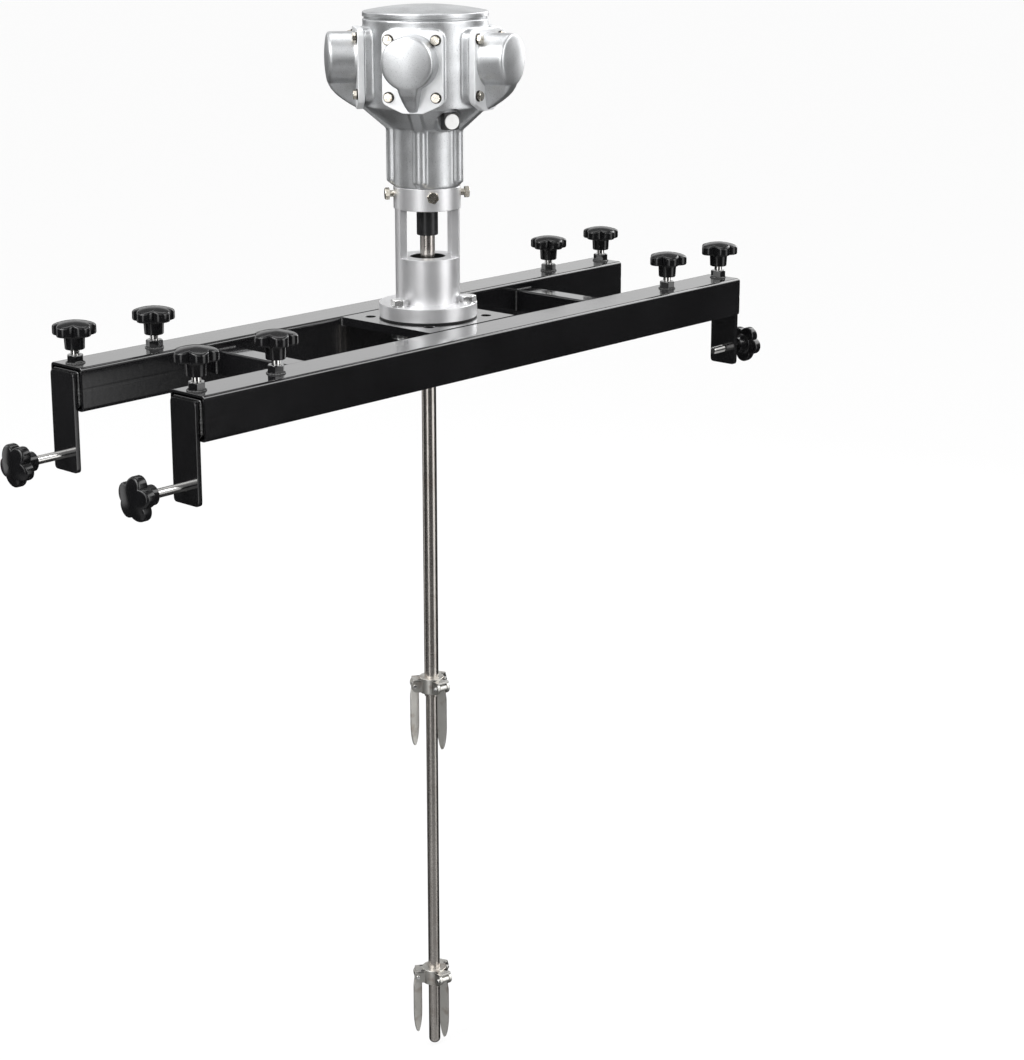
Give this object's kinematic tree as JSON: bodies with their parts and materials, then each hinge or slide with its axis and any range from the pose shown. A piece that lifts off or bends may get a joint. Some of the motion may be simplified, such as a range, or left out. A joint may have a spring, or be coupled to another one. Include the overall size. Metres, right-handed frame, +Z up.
{
  "type": "tank agitator",
  "caption": "Air-driven tote tank agitator: radial piston motor on a lantern, telescoping clamp frame, long shaft with folding impellers.",
  "frame": {"origin": "on the shaft axis, in the plane of the beam and centre plate tops", "axes": "+Z up along the shaft axis, towards the motor; +X along the beams, away from the backed-out clamp screws; +Y across the beams"},
  "size_m": [1.0835, 0.26, 1.361],
  "materials": {
    "frame_paint": "gloss",
    "screw_steel": "polished",
    "knob_plastic": "gloss",
    "machined_aluminium": "satin, turned",
    "cast_aluminium": "matte cast",
    "zinc_steel": "zinc plated",
    "seal_rubber": "matte",
    "plug_plastic": "matte",
    "bushing_bronze": "machined",
    "inner_steel": "ground",
    "coupling_black": "black oxide",
    "stainless": "brushed"
  },
  "bodies": {
    "frame": {"beam_near": "frame_paint", "beam_far": "frame_paint", "center_plate": "frame_paint", "cross_bar_left": "frame_paint", "cross_bar_right": "frame_paint", "lock_nuts": "frame_paint", "lantern": "machined_aluminium", "lantern_gasket": "seal_rubber", "flange_bolts": "zinc_steel", "collar_screws": "zinc_steel", "shaft_bushing": "bushing_bronze", "crankcase": "cast_aluminium", "top_cover": "cast_aluminium", "cylinder_heads": "cast_aluminium", "head_bolts": "zinc_steel", "port_plug": "plug_plastic", "crank_bearings": "inner_steel", "pistons": "machined_aluminium", "connecting_rods": "machined_aluminium"},
    "drive": {"crankshaft": "inner_steel", "coupling": "coupling_black", "mixing_shaft": "stainless", "shaft_slinger": "seal_rubber", "hub_upper": "stainless", "hub_lower": "stainless", "blade_pins": "stainless"},
    "bracket_nl": {"end_bracket_nl": "frame_paint"},
    "lock_stud_nl_outer": {"lock_stud_nl_outer": "screw_steel"},
    "lock_knob_nl_outer": {"lock_knob_nl_outer": "knob_plastic"},
    "lock_stud_nl_inner": {"lock_stud_nl_inner": "screw_steel"},
    "lock_knob_nl_inner": {"lock_knob_nl_inner": "knob_plastic"},
    "clamp_stud_nl": {"clamp_stud_nl": "screw_steel"},
    "clamp_knob_nl": {"clamp_knob_nl": "knob_plastic"},
    "bracket_nr": {"end_bracket_nr": "frame_paint"},
    "lock_stud_nr_outer": {"lock_stud_nr_outer": "screw_steel"},
    "lock_knob_nr_outer": {"lock_knob_nr_outer": "knob_plastic"},
    "lock_stud_nr_inner": {"lock_stud_nr_inner": "screw_steel"},
    "lock_knob_nr_inner": {"lock_knob_nr_inner": "knob_plastic"},
    "clamp_stud_nr": {"clamp_stud_nr": "screw_steel"},
    "clamp_knob_nr": {"clamp_knob_nr": "knob_plastic"},
    "bracket_fl": {"end_bracket_fl": "frame_paint"},
    "lock_stud_fl_outer": {"lock_stud_fl_outer": "screw_steel"},
    "lock_knob_fl_outer": {"lock_knob_fl_outer": "knob_plastic"},
    "lock_stud_fl_inner": {"lock_stud_fl_inner": "screw_steel"},
    "lock_knob_fl_inner": {"lock_knob_fl_inner": "knob_plastic"},
    "clamp_stud_fl": {"clamp_stud_fl": "screw_steel"},
    "clamp_knob_fl": {"clamp_knob_fl": "knob_plastic"},
    "bracket_fr": {"end_bracket_fr": "frame_paint"},
    "lock_stud_fr_outer": {"lock_stud_fr_outer": "screw_steel"},
    "lock_knob_fr_outer": {"lock_knob_fr_outer": "knob_plastic"},
    "lock_stud_fr_inner": {"lock_stud_fr_inner": "screw_steel"},
    "lock_knob_fr_inner": {"lock_knob_fr_inner": "knob_plastic"},
    "clamp_stud_fr": {"clamp_stud_fr": "screw_steel"},
    "clamp_knob_fr": {"clamp_knob_fr": "knob_plastic"},
    "blade_upper_1": {"blade_upper_1": "stainless"},
    "blade_upper_2": {"blade_upper_2": "stainless"},
    "blade_upper_3": {"blade_upper_3": "stainless"},
    "blade_lower_1": {"blade_lower_1": "stainless"},
    "blade_lower_2": {"blade_lower_2": "stainless"},
    "blade_lower_3": {"blade_lower_3": "stainless"}
  },
  "joints": [
    {"name": "shaft_spin", "type": "hinge", "parent": "frame", "child": "drive", "pos_m": [0, 0, 0], "axis": [0, 0, 1], "continuous": true},
    {"name": "bracket_nl_slide", "type": "slide", "parent": "frame", "child": "bracket_nl", "axis": [-1, 0, 0], "range_m": [0, 0.1]},
    {"name": "lock_stud_nl_outer_lift", "type": "slide", "parent": "frame", "child": "lock_stud_nl_outer", "axis": [0, 0, 1], "range_m": [0, 0.006]},
    {"name": "lock_knob_nl_outer_turn", "type": "hinge", "parent": "lock_stud_nl_outer", "child": "lock_knob_nl_outer", "pos_m": [-0.457, -0.1025, 0.016], "axis": [0, 0, 1], "range_deg": [0, 1440]},
    {"name": "lock_stud_nl_inner_lift", "type": "slide", "parent": "frame", "child": "lock_stud_nl_inner", "axis": [0, 0, 1], "range_m": [0, 0.006]},
    {"name": "lock_knob_nl_inner_turn", "type": "hinge", "parent": "lock_stud_nl_inner", "child": "lock_knob_nl_inner", "pos_m": [-0.345, -0.1025, 0.016], "axis": [0, 0, 1], "range_deg": [0, 1440]},
    {"name": "clamp_stud_nl_feed", "type": "slide", "parent": "bracket_nl", "child": "clamp_stud_nl", "axis": [-1, 0, 0], "range_m": [-0.042, 0.003]},
    {"name": "clamp_knob_nl_turn", "type": "hinge", "parent": "clamp_stud_nl", "child": "clamp_knob_nl", "pos_m": [-0.52, -0.1025, -0.1], "axis": [-1, 0, 0], "range_deg": [-10080, 720]},
    {"name": "bracket_nr_slide", "type": "slide", "parent": "frame", "child": "bracket_nr", "axis": [1, 0, 0], "range_m": [0, 0.1]},
    {"name": "lock_stud_nr_outer_lift", "type": "slide", "parent": "frame", "child": "lock_stud_nr_outer", "axis": [0, 0, 1], "range_m": [0, 0.006]},
    {"name": "lock_knob_nr_outer_turn", "type": "hinge", "parent": "lock_stud_nr_outer", "child": "lock_knob_nr_outer", "pos_m": [0.457, -0.1025, 0.016], "axis": [0, 0, 1], "range_deg": [0, 1440]},
    {"name": "lock_stud_nr_inner_lift", "type": "slide", "parent": "frame", "child": "lock_stud_nr_inner", "axis": [0, 0, 1], "range_m": [0, 0.006]},
    {"name": "lock_knob_nr_inner_turn", "type": "hinge", "parent": "lock_stud_nr_inner", "child": "lock_knob_nr_inner", "pos_m": [0.345, -0.1025, 0.016], "axis": [0, 0, 1], "range_deg": [0, 1440]},
    {"name": "clamp_stud_nr_feed", "type": "slide", "parent": "bracket_nr", "child": "clamp_stud_nr", "axis": [1, 0, 0], "range_m": [-0.021, 0.021]},
    {"name": "clamp_knob_nr_turn", "type": "hinge", "parent": "clamp_stud_nr", "child": "clamp_knob_nr", "pos_m": [0.4995, -0.1025, -0.1], "axis": [1, 0, 0], "range_deg": [-5040, 5040]},
    {"name": "bracket_fl_slide", "type": "slide", "parent": "frame", "child": "bracket_fl", "axis": [-1, 0, 0], "range_m": [0, 0.1]},
    {"name": "lock_stud_fl_outer_lift", "type": "slide", "parent": "frame", "child": "lock_stud_fl_outer", "axis": [0, 0, 1], "range_m": [0, 0.006]},
    {"name": "lock_knob_fl_outer_turn", "type": "hinge", "parent": "lock_stud_fl_outer", "child": "lock_knob_fl_outer", "pos_m": [-0.457, 0.1025, 0.016], "axis": [0, 0, 1], "range_deg": [0, 1440]},
    {"name": "lock_stud_fl_inner_lift", "type": "slide", "parent": "frame", "child": "lock_stud_fl_inner", "axis": [0, 0, 1], "range_m": [0, 0.006]},
    {"name": "lock_knob_fl_inner_turn", "type": "hinge", "parent": "lock_stud_fl_inner", "child": "lock_knob_fl_inner", "pos_m": [-0.345, 0.1025, 0.016], "axis": [0, 0, 1], "range_deg": [0, 1440]},
    {"name": "clamp_stud_fl_feed", "type": "slide", "parent": "bracket_fl", "child": "clamp_stud_fl", "axis": [-1, 0, 0], "range_m": [-0.042, 0.003]},
    {"name": "clamp_knob_fl_turn", "type": "hinge", "parent": "clamp_stud_fl", "child": "clamp_knob_fl", "pos_m": [-0.52, 0.1025, -0.1], "axis": [-1, 0, 0], "range_deg": [-10080, 720]},
    {"name": "bracket_fr_slide", "type": "slide", "parent": "frame", "child": "bracket_fr", "axis": [1, 0, 0], "range_m": [0, 0.1]},
    {"name": "lock_stud_fr_outer_lift", "type": "slide", "parent": "frame", "child": "lock_stud_fr_outer", "axis": [0, 0, 1], "range_m": [0, 0.006]},
    {"name": "lock_knob_fr_outer_turn", "type": "hinge", "parent": "lock_stud_fr_outer", "child": "lock_knob_fr_outer", "pos_m": [0.457, 0.1025, 0.016], "axis": [0, 0, 1], "range_deg": [0, 1440]},
    {"name": "lock_stud_fr_inner_lift", "type": "slide", "parent": "frame", "child": "lock_stud_fr_inner", "axis": [0, 0, 1], "range_m": [0, 0.006]},
    {"name": "lock_knob_fr_inner_turn", "type": "hinge", "parent": "lock_stud_fr_inner", "child": "lock_knob_fr_inner", "pos_m": [0.345, 0.1025, 0.016], "axis": [0, 0, 1], "range_deg": [0, 1440]},
    {"name": "clamp_stud_fr_feed", "type": "slide", "parent": "bracket_fr", "child": "clamp_stud_fr", "axis": [1, 0, 0], "range_m": [-0.021, 0.021]},
    {"name": "clamp_knob_fr_turn", "type": "hinge", "parent": "clamp_stud_fr", "child": "clamp_knob_fr", "pos_m": [0.4995, 0.1025, -0.1], "axis": [1, 0, 0], "range_deg": [-5040, 5040]},
    {"name": "blade_upper_1_fold", "type": "hinge", "parent": "drive", "child": "blade_upper_1", "pos_m": [0.02067, 0.00752, -0.478], "axis": [0.342, -0.9397, 0], "range_deg": [0, 90]},
    {"name": "blade_upper_2_fold", "type": "hinge", "parent": "drive", "child": "blade_upper_2", "pos_m": [-0.01685, 0.01414, -0.478], "axis": [0.6428, 0.766, 0], "range_deg": [0, 90]},
    {"name": "blade_upper_3_fold", "type": "hinge", "parent": "drive", "child": "blade_upper_3", "pos_m": [-0.00382, -0.02167, -0.478], "axis": [-0.9848, 0.1736, 0], "range_deg": [0, 90]},
    {"name": "blade_lower_1_fold", "type": "hinge", "parent": "drive", "child": "blade_lower_1", "pos_m": [0.02067, 0.00752, -0.884], "axis": [0.342, -0.9397, 0], "range_deg": [0, 90]},
    {"name": "blade_lower_2_fold", "type": "hinge", "parent": "drive", "child": "blade_lower_2", "pos_m": [-0.01685, 0.01414, -0.884], "axis": [0.6428, 0.766, 0], "range_deg": [0, 90]},
    {"name": "blade_lower_3_fold", "type": "hinge", "parent": "drive", "child": "blade_lower_3", "pos_m": [-0.00382, -0.02167, -0.884], "axis": [-0.9848, 0.1736, 0], "range_deg": [0, 90]}
  ],
  "couplings": [
    {"joint": "lock_stud_nl_outer_lift", "follows": "lock_knob_nl_outer_turn", "m_per_rad": 0.00023873},
    {"joint": "lock_stud_nl_inner_lift", "follows": "lock_knob_nl_inner_turn", "m_per_rad": 0.00023873},
    {"joint": "clamp_stud_nl_feed", "follows": "clamp_knob_nl_turn", "m_per_rad": 0.00023873},
    {"joint": "lock_stud_nr_outer_lift", "follows": "lock_knob_nr_outer_turn", "m_per_rad": 0.00023873},
    {"joint": "lock_stud_nr_inner_lift", "follows": "lock_knob_nr_inner_turn", "m_per_rad": 0.00023873},
    {"joint": "clamp_stud_nr_feed", "follows": "clamp_knob_nr_turn", "m_per_rad": 0.00023873},
    {"joint": "lock_stud_fl_outer_lift", "follows": "lock_knob_fl_outer_turn", "m_per_rad": 0.00023873},
    {"joint": "lock_stud_fl_inner_lift", "follows": "lock_knob_fl_inner_turn", "m_per_rad": 0.00023873},
    {"joint": "clamp_stud_fl_feed", "follows": "clamp_knob_fl_turn", "m_per_rad": 0.00023873},
    {"joint": "lock_stud_fr_outer_lift", "follows": "lock_knob_fr_outer_turn", "m_per_rad": 0.00023873},
    {"joint": "lock_stud_fr_inner_lift", "follows": "lock_knob_fr_inner_turn", "m_per_rad": 0.00023873},
    {"joint": "clamp_stud_fr_feed", "follows": "clamp_knob_fr_turn", "m_per_rad": 0.00023873}
  ]
}
